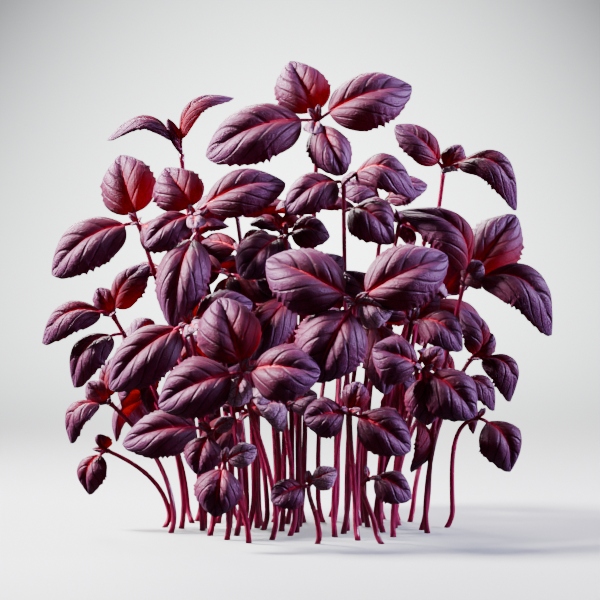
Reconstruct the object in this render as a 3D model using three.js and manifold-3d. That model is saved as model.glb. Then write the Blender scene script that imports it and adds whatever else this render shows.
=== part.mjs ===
// A bunch of purple basil: fifty-eight young leafy stems cut level, standing on their cut ends.
// Millimetres, +Z up, +X to the right, -Y to the front. The origin is on the surface the bunch
// stands on, in the middle of the cut end of its tallest stem.
//
// Each leafy stem is one solid: a tapered, slightly curved stem, square like every basil stem, with
// its leaves on short stalks. A stem that would cross another is set down a little further off. A
// leaf that would cross another stem or leaf is bent clear of it, or left off where no bend helps.
import * as THREE from "three";
import { mergeVertices } from "three/addons/utils/BufferGeometryUtils.js";
import Module from "manifold-3d";

const wasm = await Module();
wasm.setup();

// ---- driving dimensions ----
const STEM_FOOT_R = 0.64; // the stem's half diagonal at the cut end
const STEM_TOP_R = 0.5; // the same under the head
const STEM_SIDES = 4;
const STEM_STATIONS = [0, 0.07, 0.35, 0.7, 1];
const FOOT_KICK = 1.4; // how far the cut end flares out sideways
const FOOT_KICK_SHARE = 0.12; // share of the stem that the flare takes
const HEAD_UPRIGHT = 0.8; // how much more upright than its face a stem comes into its head
const STALK_SHARE = 0.13; // share of a leaf's length that is its stalk
const STALK_HALF = 0.42; // half the stalk's width
const BLADE_THICK = 0.7;
const BLADE_CUP = 0.4; // how far a blade's edges hang, as a share of its half width
const TOOTH_DEPTH = 0.07; // a tooth's depth, as a share of the half width
const CLEAR = 0.25; // gap kept between neighbouring leaves and stems
const FOOT_PITCH = 3.2; // least distance between two cut ends

// ---- the stems that are placed by eye ----
// foot: where the cut end stands. head: where the leaves meet. face: the way the head looks.
// lean: the way the stem comes into the head, where that isn't a little more upright than face.
// leaves: [x, y, z from the root to the tip, blade width, arch as a share of length, place on the stem]
const PLACED = [
  { foot: [0, 0], head: [4, -8, 93], face: [0, -0.82, 0.57],
    leaves: [[-25, -3, -8, 16, 0.2], [-6, 5, 14, 13, 0.12], [21.5, 1, 8, 15.5, 0.16],
      [5.5, -9, -12.5, 10, 0.15], [-1, -6, -3, 5, 0.1]] },
  { foot: [10, -11], head: [10, -14, 79], face: [0, -0.72, 0.7],
    leaves: [[-13, -6, -6.5, 11.5, 0.25], [16, -2, -3, 11, 0.45], [11, -6, -7, 12, 0.35, 0.9],
      [2, -5, 2, 4.5, 0.1]] },
  { foot: [-16, -2], head: [-27, 0, 86], face: [-0.1, -0.35, 0.95],
    leaves: [[-17, -2, 3, 7, 0.38], [12, 2, 13, 7, 0.35], [-3, -2, 8, 4.5, 0.1]] },
  { foot: [-22, -6], head: [-36, -12, 70], face: [-0.35, -0.75, 0.55],
    leaves: [[-4.5, 5, 15.5, 13.5, 0.12], [-19, -4, -11.5, 15, 0.2], [9, -4, -5, 9, 0.18]] },
  { foot: [-14, -14], head: [-23, -16, 72], face: [-0.1, -0.8, 0.6],
    leaves: [[-7, 4, 10.5, 12, 0.12], [20, 1, 7, 13, 0.2], [-11, -4, -7, 9, 0.2],
      [-5, -11, -21, 12, 0.25, 0.93], [0, -6, -3, 5, 0.1]] },
  { foot: [22, -2], head: [33, -2, 82], face: [0.1, -0.66, 0.75],
    leaves: [[-11, 0, 10.5, 10.5, 0.15], [16.5, -3, -9, 10.5, 0.5], [4, 0, 6, 6.5, 0.1],
      [2, -5, 0, 4, 0.1]] },
  { foot: [28, -5], head: [37, -10, 56], face: [0.3, -0.68, 0.67],
    leaves: [[-14, -2, 17, 12.5, 0.42], [12, 3, 16, 13, 0.1], [19.5, -4, -11, 14, 0.45],
      [4, -4, 5, 8, 0.2]] },
  { foot: [-4, -7], head: [-3, -10, 67], face: [0, -0.75, 0.65],
    leaves: [[-10, -7, -9, 12.5, 0.22], [10, -2, 0, 10, 0.3]] },
  { foot: [8, -16], head: [12, -31, 53], face: [0, -0.9, 0.45],
    leaves: [[-19, 2, 9, 15.5, 0.15], [20, 2, 10, 15, 0.15], [-9, -4, -17, 16, 0.18], [8, -3, -5, 9, 0.12]] },
  { foot: [-6, -20], head: [-12, -34, 38], face: [0, -0.85, 0.5],
    leaves: [[-5, 3, 16, 14, 0.14], [-18, -2, -7, 14.5, 0.2], [20, -1, -3, 14, 0.18], [-2, -4, -7, 6, 0.1]] },
  { foot: [-20, -14], head: [-24, -25, 48], face: [-0.2, -0.85, 0.5],
    leaves: [[-17, -4, -14, 13.5, 0.2], [14, 2, 7, 10.5, 0.22], [-19, -3, -3, 12, 0.22, 0.42],
      [2, -5, -1, 6, 0.1]] },
  { foot: [-27, -3], head: [-42, -8, 49], lean: [-0.5, -0.1, 0.9], face: [-0.35, -0.68, 0.65],
    leaves: [[8, -1, 12, 10, 0.2], [-16, -2, -6, 10, 0.35], [-11, -3, -12, 10.5, 0.35, 0.9],
      [-3.5, -1, 6.5, 5.5, 0.1]] },
  { foot: [-29, -10], head: [-43, -5, 29], lean: [-0.7, -0.1, 0.7], face: [-0.6, -0.5, 0.62],
    leaves: [[1, 1, 11, 7, 0.2], [-9, -2, -9, 9, 0.4], [-5, -2, 5, 6, 0.1]] },
  { foot: [-31, -1], head: [-44, -3, 18], lean: [-0.9, 0, 0.4], face: [-0.5, -0.75, 0.5],
    leaves: [[-4, -2, -10, 9, 0.35], [-1.5, -2, 4, 5, 0.1]] },
  { foot: [29, -10], head: [39, -5, 39], lean: [0.5, -0.2, 0.8], face: [0.4, -0.6, 0.7],
    leaves: [[-6, -1, 13, 9.5, 0.35], [9, -2, -9.5, 10, 0.5], [5, -2, 6, 6, 0.1]] },
  { foot: [19, -9], head: [25, -17, 48], face: [0.2, -0.75, 0.63],
    leaves: [[11, -4, -6, 11, 0.35], [-8, 2, 6, 9, 0.2], [6, 3, 6, 6, 0.15]] },
  { foot: [21, -16], head: [27, -26, 38], face: [0.15, -0.85, 0.5],
    leaves: [[-11, -2, 5, 12, 0.15], [11, -3, -10, 13, 0.22], [2, -5, -13, 10, 0.2], [4, 0, 5, 5, 0.1]] },
  { foot: [34, -1], head: [41, -4, 25.5], lean: [1, -0.2, 0.1], face: [0.4, -0.85, 0.3],
    leaves: [[7, -3, -12, 12, 0.4]] },
  { foot: [13, -21], head: [11, -31, 29], face: [0, -0.85, 0.5],
    leaves: [[-10, -2, -1, 10, 0.15], [13, -2, -8, 11.5, 0.2], [2, 0, 7, 6, 0.1]] },
  { foot: [-16, -20], head: [-19, -30, 25], face: [-0.2, -0.8, 0.5],
    leaves: [[-3, -3, -9, 9, 0.2], [5, 0, 3, 4, 0.1]] },
  { foot: [-11, -25], head: [-16, -35, 19], face: [0, -0.8, 0.6],
    leaves: [[-2, -3, -11.5, 10.5, 0.2], [7, -1, 3, 6, 0.12]] },
  { foot: [4, -26], head: [2, -36, 14], face: [0, -0.7, 0.7],
    leaves: [[-8, -3, -3, 8.5, 0.15], [6, -1, 3.5, 6.5, 0.12]] },
  { foot: [18, -26], head: [15, -32, 15], lean: [0.7, -0.5, 0.4], face: [0.2, -0.7, 0.6],
    leaves: [[9, -3, -4, 9, 0.25]] },
  { foot: [-2, -14], head: [-3, -27, 30], face: [0, -0.8, 0.6],
    leaves: [[-12, -3, -6, 13, 0.15], [7, -1, 3, 7, 0.15]] },
  { foot: [26, 8], head: [36, 12, 32], face: [0.5, -0.5, 0.6],
    leaves: [[10, -2, -6, 9, 0.4], [-5, 3, 9, 8, 0.2]] },
  { foot: [24, 10], head: [33, 14, 52], face: [0.4, 0.2, 0.8],
    leaves: [[6, -2, 9, 10, 0.2], [-8, -4, 6, 9, 0.2]] },
  { foot: [15, 7], head: [20, 10, 74], face: [0.2, -0.5, 0.8],
    leaves: [[10, -3, 5, 11, 0.25], [-11, -2, 4, 11, 0.25]] },
];

// ---- the stems that a rule places, behind and between those ----
const RULED = 31;
const DOME = { mid: 36, x: 42, y: 33, z: 46 }; // middle height and half axes of the shell their heads lie on
const INNER_EVERY = 3; // one ruled stem in this many stands inside the shell
const INNER_HEIGHT = 0.8; // share of the shell's height that an inner head reaches
const FOOT_SHARE = { x: 0.72, y: 0.6 }; // how far out a foot stands, as a share of its head's distance
const LEAF_SIZES = { least: 14, spread: 6 }; // length of a ruled stem's longest leaf
const GOLDEN_TURN = 0.618034;
const SEED = 6;

// ---- small helpers ----
const vec = (a) => new THREE.Vector3(...a);
const unit = (v) => v.clone().normalize();
const across = (v, axis) => unit(v.clone().addScaledVector(axis, -v.dot(axis)));

// A number from 0 to 1 that depends only on the two whole numbers given.
function draw(a, b) {
  const s = Math.sin(a * 127.1 + b * 311.7 + SEED * 74.7) * 43758.5453;
  return s - Math.floor(s);
}

function solidOf(geometry) {
  const bare = new THREE.BufferGeometry();
  bare.setAttribute("position", geometry.getAttribute("position"));
  bare.setIndex(geometry.index);
  const merged = mergeVertices(bare, 1e-4);
  return new wasm.Manifold(
    new wasm.Mesh({
      numProp: 3,
      vertProperties: merged.attributes.position.array,
      triVerts: new Uint32Array(merged.index.array),
    }),
  );
}

function geometryOf(solid) {
  const mesh = solid.getMesh();
  const geometry = new THREE.BufferGeometry();
  geometry.setAttribute("position", new THREE.BufferAttribute(new Float32Array(mesh.vertProperties), 3));
  geometry.setIndex(new THREE.BufferAttribute(new Uint32Array(mesh.triVerts), 1));
  const loose = geometry.toNonIndexed();
  loose.computeVertexNormals();
  return loose;
}

function touches(a, b) {
  const boxA = a.boundingBox();
  const boxB = b.boundingBox();
  const apart = [0, 1, 2].some((k) => boxA.min[k] > boxB.max[k] || boxB.min[k] > boxA.max[k]);
  return !apart && a.intersect(b).volume() > 1e-5;
}

// ---- stems ----
// The stem's centre line: straight up from its foot, then over into the head's own direction. It
// starts a flare away from the foot, so that the flared cut end comes back onto the foot itself.
function stemCurve(foot, stem) {
  const start = foot.clone().sub(footFlare(stem, 0));
  const head = headOf(foot, stem);
  const reach = head.distanceTo(start);
  const upright = unit(vec(stem.face)).add(new THREE.Vector3(0, 0, HEAD_UPRIGHT));
  const lean = unit(stem.lean ? vec(stem.lean) : upright);
  return new THREE.CubicBezierCurve3(
    start,
    start.clone().add(new THREE.Vector3(0, 0, 0.45 * reach)),
    head.clone().addScaledVector(lean, -0.3 * reach),
    head,
  );
}

// A ruled head moves along with its foot; a placed one stays.
function headOf(foot, stem) {
  const head = vec(stem.head);
  if (stem.ruled) head.add(foot).sub(new THREE.Vector3(stem.foot[0], stem.foot[1], 0));
  return head;
}

// The sideways flare of the cut end, which dies out a little way up.
function footFlare(stem, share) {
  const left = Math.max(0, 1 - share / FOOT_KICK_SHARE);
  const outward = new THREE.Vector3(Math.cos(stem.kick), Math.sin(stem.kick), 0);
  return outward.multiplyScalar(FOOT_KICK * left * left);
}

// The stem as one closed solid, its surface moved out by extra.
function stemSolid(foot, stem, extra) {
  const curve = stemCurve(foot, stem);
  const rings = STEM_STATIONS.map((share) => {
    const centre = curve.getPoint(share).add(footFlare(stem, share));
    const tangent = share === 0 ? new THREE.Vector3(0, 0, 1) : curve.getTangent(share);
    return { centre, tangent, radius: STEM_FOOT_R + (STEM_TOP_R - STEM_FOOT_R) * share + extra };
  });
  let side = new THREE.Vector3(1, 0, 0);
  for (const ring of rings) {
    side = across(side, ring.tangent);
    ring.side = side;
    ring.front = new THREE.Vector3().crossVectors(ring.tangent, side);
  }
  const tube = new THREE.CylinderGeometry(1, 1, 1, STEM_SIDES, rings.length - 1);
  const place = tube.getAttribute("position");
  for (let i = 0; i < place.count; i++) {
    const ring = rings[Math.round((place.getY(i) + 0.5) * (rings.length - 1))];
    const point = ring.centre
      .clone()
      .addScaledVector(ring.side, -place.getX(i) * ring.radius)
      .addScaledVector(ring.front, place.getZ(i) * ring.radius);
    place.setXYZ(i, point.x, point.y, point.z);
  }
  return solidOf(tube);
}

// ---- leaves ----
// The blade's half width along it, as a share of its widest: rounded at the stalk, blunt at the tip.
const BLADE_NEAR = 0.42;
const BLADE_FAR = 0.5;
const BLADE_REACH = BLADE_NEAR + BLADE_FAR;
const BLADE_PEAK = (BLADE_NEAR / BLADE_REACH) ** BLADE_NEAR * (BLADE_FAR / BLADE_REACH) ** BLADE_FAR;
const bladeShape = (s) => (s ** BLADE_NEAR * (1 - s) ** BLADE_FAR) / BLADE_PEAK;

// Outline stations on one side of a blade: the place along it, 1 at a tooth's tip and -1 in its notch,
// and the station of the midrib that it is tied to. rib gives the midrib's places.
const TOOTHED = {
  edge: [[0.1, 0, 0], [0.38, 1, 0], [0.43, -1, 1], [0.65, 1, 1], [0.7, -1, 2], [0.91, 1, 2]],
  rib: [0.3, 0.56, 0.82],
};
const SIMPLE = {
  edge: [[0.13, 0, 0], [0.5, 1, 0], [0.56, -1, 1], [0.87, 1, 1]],
  rib: [0.36, 0.7],
};
const YOUNG = {
  edge: [[0.16, 0, 0], [0.74, 0, 0]],
  rib: [0.45],
};
const TOOTHED_FROM = 17.5; // leaves this long or longer have the full set of teeth
const SIMPLE_FROM = 9; // shorter ones than this are young, with a plain edge

// A leaf's form: its root, the vector from root to tip, and the way its upper face looks.
function leafShape(root, tip, face, width, arch) {
  const along = unit(tip);
  const up = across(face, along);
  const side = new THREE.Vector3().crossVectors(along, up);
  const length = tip.length();
  // The way out of the upper face at t, which runs from the root to the tip.
  const lift = (t) => unit(up.clone().addScaledVector(along, -4 * arch * (1 - 2 * t)));
  // A point on the middle surface, v half widths to the side of the midrib.
  const surface = (t, v, half) =>
    root
      .clone()
      .addScaledVector(along, t * length)
      .addScaledVector(up, 4 * arch * length * t * (1 - t))
      .addScaledVector(side, v * half)
      .addScaledVector(lift(t), -BLADE_CUP * half * Math.abs(v) ** 1.5);
  return { surface, lift, width, length };
}

// The leaf as one closed solid, its surface moved out by extra and its stalk starting at from.
function leafSolid({ surface, lift, width, length }, extra, from) {
  const { edge, rib } = length >= TOOTHED_FROM ? TOOTHED : length >= SIMPLE_FROM ? SIMPLE : YOUNG;
  const thick = BLADE_THICK / 2 + extra;
  const stalk = Math.min(STALK_HALF, width / 6) + extra;
  const points = [];
  const faces = [];
  // Each place on the middle surface gives two vertices: the upper face's, then the lower face's.
  const pair = (t, v, half) => {
    const middle = surface(t, v, half);
    const outward = lift(t).multiplyScalar(thick);
    points.push(middle.clone().add(outward), middle.clone().sub(outward));
    return points.length / 2 - 1;
  };
  // A triangle of the upper face, with the same one on the lower face.
  const skin = (a, b, c) => {
    faces.push(2 * a, 2 * b, 2 * c, 2 * a + 1, 2 * c + 1, 2 * b + 1);
  };
  const rim = (a, b) => {
    faces.push(2 * a, 2 * a + 1, 2 * b, 2 * b, 2 * a + 1, 2 * b + 1);
  };
  const bladeAt = (s) => STALK_SHARE + s * (1 - STALK_SHARE);

  const root = [pair(from, -1, stalk), pair(from, 1, stalk)];
  const neck = [pair(STALK_SHARE, -1, stalk), pair(STALK_SHARE, 1, stalk)];
  const spine = rib.map((s) => pair(bladeAt(s), 0, 0));
  const tip = pair(1, 0, 0);
  skin(root[0], root[1], neck[0]);
  skin(neck[0], root[1], neck[1]);
  skin(neck[0], neck[1], spine[0]);
  rim(root[0], root[1]);
  rim(neck[0], root[0]);
  rim(root[1], neck[1]);
  for (const turn of [0, 1]) {
    const ring = edge.map(([s, tooth]) => {
      const half = (width / 2) * bladeShape(s) * (1 + TOOTH_DEPTH * tooth) + extra;
      return pair(bladeAt(s), turn ? 1 : -1, half);
    });
    const chain = [neck[turn], ...ring, tip];
    const tie = [0, ...edge.map(([, , k]) => k), rib.length - 1];
    const wind = (a, b, c) => (turn ? skin(a, b, c) : skin(a, c, b));
    for (let i = 1; i < chain.length; i++) {
      if (turn) rim(chain[i - 1], chain[i]);
      else rim(chain[i], chain[i - 1]);
      wind(chain[i - 1], chain[i], spine[tie[i - 1]]);
      for (let k = tie[i - 1]; k < tie[i]; k++) wind(chain[i], spine[k + 1], spine[k]);
    }
  }
  const geometry = new THREE.BufferGeometry();
  geometry.setAttribute("position", new THREE.Float32BufferAttribute(points.flatMap((p) => p.toArray()), 3));
  geometry.setIndex(faces);
  return solidOf(geometry);
}

// The bends tried in turn, widening: [swing round the head, lift towards its face, share of the length].
const LEAF_BENDS = [[0, 0, 1]];
for (let ring = 1; ring <= 7; ring++) {
  for (let k = 0; k < 8; k++) {
    const turn = (k * Math.PI) / 4;
    LEAF_BENDS.push([9 * ring * Math.cos(turn), 9 * ring * Math.sin(turn), 1 - 0.07 * ring]);
  }
}

function bent(tip, face, [swing, lift, share]) {
  const turned = tip.clone().applyAxisAngle(face, THREE.MathUtils.degToRad(swing));
  const hinge = unit(new THREE.Vector3().crossVectors(turned, face));
  return turned.applyAxisAngle(hinge, THREE.MathUtils.degToRad(lift)).multiplyScalar(share);
}

// ---- the list of all the stems ----
// The ruled heads wind up the back half of the shell by the golden turn, and all round inside it.
// Each carries a pair of leaves and, across the pair, one shorter leaf.
function ruledStem(i) {
  const inner = i % INNER_EVERY === 1;
  const spin = (i * GOLDEN_TURN) % 1;
  const turn = inner ? 2 * Math.PI * spin : Math.PI * (1.1 * spin - 0.05);
  const rise = Math.asin(-0.3 + (1.25 * (i + 0.5)) / RULED);
  const flat = new THREE.Vector3(Math.cos(turn), Math.sin(turn), 0);
  const out = flat.multiplyScalar(Math.cos(rise)).setZ(Math.sin(rise));
  const depth = inner ? 0.3 + 0.25 * draw(i, 1) : 0.65 + 0.35 * draw(i, 1);
  const height = inner ? INNER_HEIGHT : depth;
  const head = [DOME.x * out.x * depth, DOME.y * out.y * depth, DOME.mid + DOME.z * out.z * height];
  const toLight = inner ? new THREE.Vector3(0, -1, 0.6) : new THREE.Vector3(0, 0, 0.8);
  const face = unit(out.clone().add(toLight));
  const first = across(new THREE.Vector3(Math.cos(7 * i), Math.sin(7 * i), 0.2), face);
  const second = new THREE.Vector3().crossVectors(face, first);
  const size = LEAF_SIZES.least + LEAF_SIZES.spread * draw(i, 2);
  const leaf = (way, long, wide, key) => {
    const tip = way.clone().multiplyScalar(long).addScaledVector(face, 0.15 * long);
    tip.z -= 0.25 * long;
    return [...tip.toArray(), wide, 0.16 + 0.16 * draw(i, key)];
  };
  return {
    ruled: true,
    foot: [FOOT_SHARE.x * head[0], FOOT_SHARE.y * head[1]],
    head,
    face: face.toArray(),
    leaves: [
      leaf(first, size, 0.6 * size, 4),
      leaf(first.clone().negate(), 0.94 * size, 0.58 * size, 5),
      leaf(second, 0.66 * size, 0.42 * size, 6),
    ],
  };
}

const stems = [...PLACED, ...Array.from({ length: RULED }, (_, i) => ruledStem(i))];
stems.forEach((stem, i) => {
  stem.kick = 2 * Math.PI * draw(i, 3);
});

// ---- stand the stems ----
const FOOT_NUDGES = [[0, 0]];
for (let k = 1; k < 60; k++) {
  const reach = 0.9 * Math.sqrt(k);
  FOOT_NUDGES.push([reach * Math.cos(2.4 * k), reach * Math.sin(2.4 * k)]);
}

// Each foot goes to the first nudge from its place that is clear of the stems before it.
for (const [i, stem] of stems.entries()) {
  const before = stems.slice(0, i);
  const feet = FOOT_NUDGES.map(([x, y]) => new THREE.Vector3(stem.foot[0] + x, stem.foot[1] + y, 0));
  stem.stand = feet.find((foot) => {
    if (before.some((other) => other.stand.distanceTo(foot) < FOOT_PITCH)) return false;
    const wide = stemSolid(foot, stem, CLEAR);
    return !before.some((other) => touches(wide, other.solids[0]));
  });
  if (!stem.stand) throw new Error("no room for stem " + (i + 1));
  stem.solids = [stemSolid(stem.stand, stem, 0)];
}

// ---- grow the leaves ----
// A leaf is clear if it is off the ground, touches no other stem or leaf, and its blade folds into
// nothing of its own stem. Young leaves may crowd together in their head.
function clearLeaf(stem, shape) {
  if (shape.surface(1, 0, 0).z < 2) return false;
  const wide = leafSolid(shape, CLEAR, 0);
  const others = stems.filter((other) => other !== stem).flatMap((other) => other.solids);
  if (others.some((solid) => touches(wide, solid))) return false;
  if (shape.length < SIMPLE_FROM) return true;
  const blade = leafSolid(shape, CLEAR / 2, STALK_SHARE * 0.8);
  return !stem.solids.some((solid) => touches(blade, solid));
}

for (const stem of stems) {
  const face = unit(vec(stem.face));
  const curve = stemCurve(stem.stand, stem);
  for (const [x, y, z, width, arch, place = 1] of stem.leaves) {
    const root = curve.getPoint(place);
    const tips = LEAF_BENDS.map((bend) => bent(vec([x, y, z]), face, bend));
    const shapes = tips.map((tip) => leafShape(root, tip, face, width, arch));
    const shape = shapes.find((tried) => clearLeaf(stem, tried));
    if (shape) stem.solids.push(leafSolid(shape, 0, 0));
  }
}

// ---- the bunch ----
const bunch = new THREE.Group();
for (const [i, stem] of stems.entries()) {
  const whole = stem.solids.reduce((sum, solid) => sum.add(solid));
  const purple = new THREE.MeshStandardMaterial({ color: 0x4a1838, roughness: 0.6, metalness: 0 });
  const mesh = new THREE.Mesh(geometryOf(whole), purple);
  mesh.name = "leafy_stem_" + String(i + 1).padStart(2, "0");
  bunch.add(mesh);
}

export default bunch;
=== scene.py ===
"""The looks of a bunch of purple basil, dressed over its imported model.

Each leafy stem of the model gives two pieces: stem_NN, its square glossy stem, and leaves_NN, its
domed and veined leaves with the tiny new ones in its head. Lengths are millimetres until a finished
mesh is scaled to metres. The studio and the patterns of the finishes are in metres.
"""

import math

import bmesh
import bpy
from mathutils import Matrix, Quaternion, Vector
from mathutils.kdtree import KDTree


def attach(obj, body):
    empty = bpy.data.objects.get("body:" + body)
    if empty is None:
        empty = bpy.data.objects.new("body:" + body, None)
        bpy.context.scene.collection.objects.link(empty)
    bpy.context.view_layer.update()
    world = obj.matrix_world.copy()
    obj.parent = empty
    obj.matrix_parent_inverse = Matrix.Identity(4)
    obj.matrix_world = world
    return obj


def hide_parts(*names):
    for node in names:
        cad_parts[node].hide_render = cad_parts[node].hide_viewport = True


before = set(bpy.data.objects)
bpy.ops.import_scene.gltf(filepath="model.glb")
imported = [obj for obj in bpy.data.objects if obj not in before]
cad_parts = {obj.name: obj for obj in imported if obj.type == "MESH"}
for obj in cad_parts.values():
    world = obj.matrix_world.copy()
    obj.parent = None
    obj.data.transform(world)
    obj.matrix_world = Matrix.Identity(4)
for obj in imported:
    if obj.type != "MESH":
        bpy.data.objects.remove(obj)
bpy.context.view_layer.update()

MM = 0.001
UP = Vector((0, 0, 1))

# ---- driving dimensions, the model's own ----
STEM_FOOT_R = 0.64  # the stem's half diagonal at the cut end
STEM_TOP_R = 0.5  # the same under the head
FOOT_KICK = 1.4  # how far the cut end flares out sideways
FOOT_KICK_SHARE = 0.12
HEAD_UPRIGHT = 0.8  # how much more upright than its face a stem comes into its head
FOOT_PULL, HEAD_PULL = 0.45, 0.3  # how long a stem keeps its way at each end, as a share of its reach
STALK_SHARE = 0.13  # share of a leaf's length that is its stalk
STALK_HALF = 0.42
CAD_BLADE_THICK = 0.7
BLADE_CUP = 0.4  # how far a blade's edges hang, as a share of its half width
TOOTHED_FROM = 17.5  # leaves this long or longer have the full set of teeth
SIMPLE_FROM = 9  # shorter ones than this are young, with a plain edge

# The stems, listed one by one. foot: where the cut end stands. head: where the leaves meet. face: the
# way
# the head looks. lean: the way the stem comes into the head, where that isn't a little more upright
# than face.
# leaves: (x, y, z from the root to the tip, blade width, arch as a share of length, place on the stem)
PLACED = [
    dict(foot=(0, 0), head=(4, -8, 93), face=(0, -0.82, 0.57),
         leaves=[(-25, -3, -8, 16, 0.2), (-6, 5, 14, 13, 0.12), (21.5, 1, 8, 15.5, 0.16),
                 (5.5, -9, -12.5, 10, 0.15), (-1, -6, -3, 5, 0.1)]),
    dict(foot=(10, -11), head=(10, -14, 79), face=(0, -0.72, 0.7),
         leaves=[(-13, -6, -6.5, 11.5, 0.25), (16, -2, -3, 11, 0.45), (11, -6, -7, 12, 0.35, 0.9),
                 (2, -5, 2, 4.5, 0.1)]),
    dict(foot=(-16, -2), head=(-27, 0, 86), face=(-0.1, -0.35, 0.95),
         leaves=[(-17, -2, 3, 7, 0.38), (12, 2, 13, 7, 0.35), (-3, -2, 8, 4.5, 0.1)]),
    dict(foot=(-22, -6), head=(-36, -12, 70), face=(-0.35, -0.75, 0.55),
         leaves=[(-4.5, 5, 15.5, 13.5, 0.12), (-19, -4, -11.5, 15, 0.2), (9, -4, -5, 9, 0.18)]),
    dict(foot=(-14, -14), head=(-23, -16, 72), face=(-0.1, -0.8, 0.6),
         leaves=[(-7, 4, 10.5, 12, 0.12), (20, 1, 7, 13, 0.2), (-11, -4, -7, 9, 0.2),
                 (-5, -11, -21, 12, 0.25, 0.93), (0, -6, -3, 5, 0.1)]),
    dict(foot=(22, -2), head=(33, -2, 82), face=(0.1, -0.66, 0.75),
         leaves=[(-11, 0, 10.5, 10.5, 0.15), (16.5, -3, -9, 10.5, 0.5), (4, 0, 6, 6.5, 0.1),
                 (2, -5, 0, 4, 0.1)]),
    dict(foot=(28, -5), head=(37, -10, 56), face=(0.3, -0.68, 0.67),
         leaves=[(-14, -2, 17, 12.5, 0.42), (12, 3, 16, 13, 0.1), (19.5, -4, -11, 14, 0.45),
                 (4, -4, 5, 8, 0.2)]),
    dict(foot=(-4, -7), head=(-3, -10, 67), face=(0, -0.75, 0.65),
         leaves=[(-10, -7, -9, 12.5, 0.22), (10, -2, 0, 10, 0.3)]),
    dict(foot=(8, -16), head=(12, -31, 53), face=(0, -0.9, 0.45),
         leaves=[(-19, 2, 9, 15.5, 0.15), (20, 2, 10, 15, 0.15), (-9, -4, -17, 16, 0.18),
                 (8, -3, -5, 9, 0.12)]),
    dict(foot=(-6, -20), head=(-12, -34, 38), face=(0, -0.85, 0.5),
         leaves=[(-5, 3, 16, 14, 0.14), (-18, -2, -7, 14.5, 0.2), (20, -1, -3, 14, 0.18),
                 (-2, -4, -7, 6, 0.1)]),
    dict(foot=(-20, -14), head=(-24, -25, 48), face=(-0.2, -0.85, 0.5),
         leaves=[(-17, -4, -14, 13.5, 0.2), (14, 2, 7, 10.5, 0.22), (-19, -3, -3, 12, 0.22, 0.42),
                 (2, -5, -1, 6, 0.1)]),
    dict(foot=(-27, -3), head=(-42, -8, 49), lean=(-0.5, -0.1, 0.9), face=(-0.35, -0.68, 0.65),
         leaves=[(8, -1, 12, 10, 0.2), (-16, -2, -6, 10, 0.35), (-11, -3, -12, 10.5, 0.35, 0.9),
                 (-3.5, -1, 6.5, 5.5, 0.1)]),
    dict(foot=(-29, -10), head=(-43, -5, 29), lean=(-0.7, -0.1, 0.7), face=(-0.6, -0.5, 0.62),
         leaves=[(1, 1, 11, 7, 0.2), (-9, -2, -9, 9, 0.4), (-5, -2, 5, 6, 0.1)]),
    dict(foot=(-31, -1), head=(-44, -3, 18), lean=(-0.9, 0, 0.4), face=(-0.5, -0.75, 0.5),
         leaves=[(-4, -2, -10, 9, 0.35), (-1.5, -2, 4, 5, 0.1)]),
    dict(foot=(29, -10), head=(39, -5, 39), lean=(0.5, -0.2, 0.8), face=(0.4, -0.6, 0.7),
         leaves=[(-6, -1, 13, 9.5, 0.35), (9, -2, -9.5, 10, 0.5), (5, -2, 6, 6, 0.1)]),
    dict(foot=(19, -9), head=(25, -17, 48), face=(0.2, -0.75, 0.63),
         leaves=[(11, -4, -6, 11, 0.35), (-8, 2, 6, 9, 0.2), (6, 3, 6, 6, 0.15)]),
    dict(foot=(21, -16), head=(27, -26, 38), face=(0.15, -0.85, 0.5),
         leaves=[(-11, -2, 5, 12, 0.15), (11, -3, -10, 13, 0.22), (2, -5, -13, 10, 0.2),
                 (4, 0, 5, 5, 0.1)]),
    dict(foot=(34, -1), head=(41, -4, 25.5), lean=(1, -0.2, 0.1), face=(0.4, -0.85, 0.3),
         leaves=[(7, -3, -12, 12, 0.4)]),
    dict(foot=(13, -21), head=(11, -31, 29), face=(0, -0.85, 0.5),
         leaves=[(-10, -2, -1, 10, 0.15), (13, -2, -8, 11.5, 0.2), (2, 0, 7, 6, 0.1)]),
    dict(foot=(-16, -20), head=(-19, -30, 25), face=(-0.2, -0.8, 0.5),
         leaves=[(-3, -3, -9, 9, 0.2), (5, 0, 3, 4, 0.1)]),
    dict(foot=(-11, -25), head=(-16, -35, 19), face=(0, -0.8, 0.6),
         leaves=[(-2, -3, -11.5, 10.5, 0.2), (7, -1, 3, 6, 0.12)]),
    dict(foot=(4, -26), head=(2, -36, 14), face=(0, -0.7, 0.7),
         leaves=[(-8, -3, -3, 8.5, 0.15), (6, -1, 3.5, 6.5, 0.12)]),
    dict(foot=(18, -26), head=(15, -32, 15), lean=(0.7, -0.5, 0.4), face=(0.2, -0.7, 0.6),
         leaves=[(9, -3, -4, 9, 0.25)]),
    dict(foot=(-2, -14), head=(-3, -27, 30), face=(0, -0.8, 0.6),
         leaves=[(-12, -3, -6, 13, 0.15), (7, -1, 3, 7, 0.15)]),
    dict(foot=(26, 8), head=(36, 12, 32), face=(0.5, -0.5, 0.6),
         leaves=[(10, -2, -6, 9, 0.4), (-5, 3, 9, 8, 0.2)]),
    dict(foot=(24, 10), head=(33, 14, 52), face=(0.4, 0.2, 0.8),
         leaves=[(6, -2, 9, 10, 0.2), (-8, -4, 6, 9, 0.2)]),
    dict(foot=(15, 7), head=(20, 10, 74), face=(0.2, -0.5, 0.8),
         leaves=[(10, -3, 5, 11, 0.25), (-11, -2, 4, 11, 0.25)]),
]

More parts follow.
